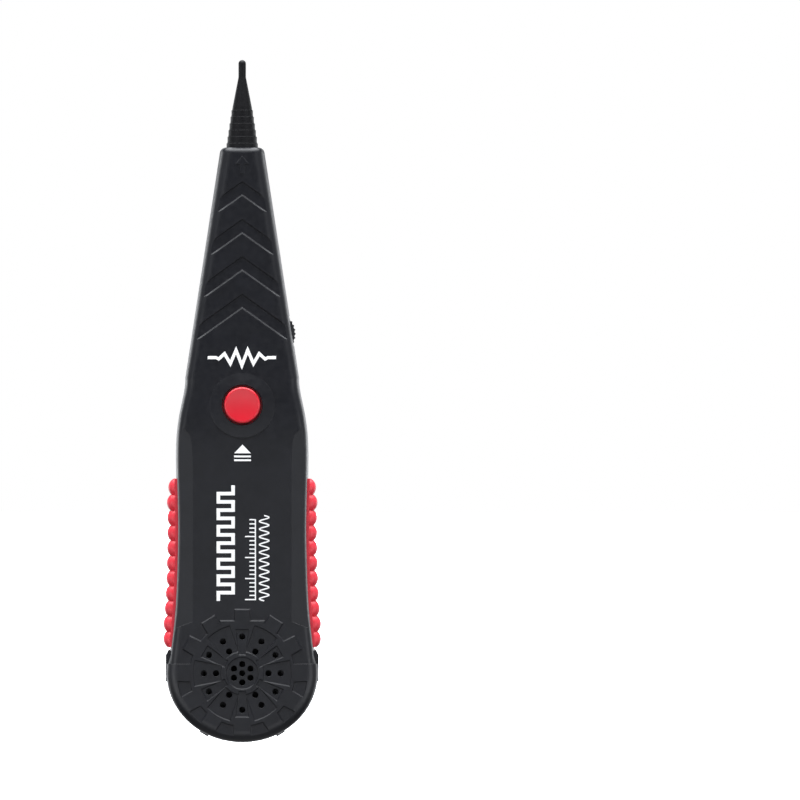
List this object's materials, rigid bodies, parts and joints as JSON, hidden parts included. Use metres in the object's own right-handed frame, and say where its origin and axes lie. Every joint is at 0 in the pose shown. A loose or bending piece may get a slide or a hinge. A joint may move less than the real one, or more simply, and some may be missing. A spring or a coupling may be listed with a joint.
{
  "type": "circuit breaker finder",
  "caption": "Hand-held receiver of a circuit breaker finder: tapered body with a ribbed pickup tip, push button, side thumbwheel, round speaker head, soft side grips and a rear battery door.",
  "frame": {"origin": "centre of the zone a hand holds, between the two side grips, on the plane where the front and back shells meet", "axes": "+Z along the body towards the pickup tip, -Y out of the front face with the button and speaker grille, +X towards the side with the thumbwheel"},
  "size_m": [0.0504, 0.0337, 0.2179],
  "materials": {
    "shell_plastic": "satin black, fine texture",
    "door_plastic": "satin black, fine texture",
    "grip_rubber": "soft red, smooth",
    "button_plastic": "red, semi-gloss",
    "boot_rubber": "matt black",
    "wheel_plastic": "knurled black",
    "bare_steel": "bright zinc plated",
    "black_steel": "black oxide",
    "board_laminate": "green solder mask",
    "chip_plastic": "moulded black",
    "can_aluminium": "plain",
    "copper_winding": "enamelled wire",
    "foam": "closed-cell foam",
    "speaker_paper": "pressed black cone",
    "battery_jacket": "plain dark jacket",
    "snap_plastic": "soft black",
    "red_insulation": "wire insulation",
    "black_insulation": "wire insulation",
    "label_film": "printed film",
    "socket_plastic": "natural nylon",
    "resistor_ceramic": "glazed"
  },
  "bodies": {
    "housing": {"front_shell": "shell_plastic", "back_shell": "shell_plastic", "left_grip": "grip_rubber", "right_grip": "grip_rubber", "switch_housing": "chip_plastic", "volume_control": "chip_plastic", "pickup_boot": "boot_rubber", "pickup_rod": "bare_steel", "pickup_coil": "copper_winding", "coil_leads": "copper_winding", "case_screw": "black_steel", "circuit_board": "board_laminate", "board_screws": "bare_steel", "main_chip": "chip_plastic", "amplifier_chip": "chip_plastic", "capacitors": "can_aluminium", "resistors": "resistor_ceramic", "crystal": "bare_steel", "speaker_socket": "socket_plastic", "speaker_gasket": "foam", "speaker_frame": "bare_steel", "speaker_cone": "speaker_paper", "speaker_magnet": "bare_steel", "speaker_leads": "red_insulation", "battery": "battery_jacket", "battery_terminals": "bare_steel", "battery_snap": "snap_plastic", "battery_lead_red": "red_insulation", "battery_lead_black": "black_insulation"},
    "button": {"test_button": "button_plastic", "switch_plunger": "socket_plastic"},
    "wheel": {"thumbwheel": "wheel_plastic", "wheel_shaft": "bare_steel", "wheel_screw": "bare_steel"},
    "door": {"battery_door": "door_plastic", "door_pad": "foam", "rating_label": "label_film"}
  },
  "joints": [
    {"name": "button_press", "type": "slide", "parent": "housing", "child": "button", "axis": [0, 1, 0], "range_m": [0, 0.001], "stiffness_N_per_m": 1000, "springref_m": -0.001},
    {"name": "wheel_turn", "type": "hinge", "parent": "housing", "child": "wheel", "pos_m": [0.0097, 0, 0.0733], "axis": [0, 1, 0], "range_deg": [-150, 150]},
    {"name": "door_open", "type": "hinge", "parent": "housing", "child": "door", "pos_m": [0, 0.016, 0.0419], "axis": [1, 0, 0], "range_deg": [0, 75]}
  ]
}
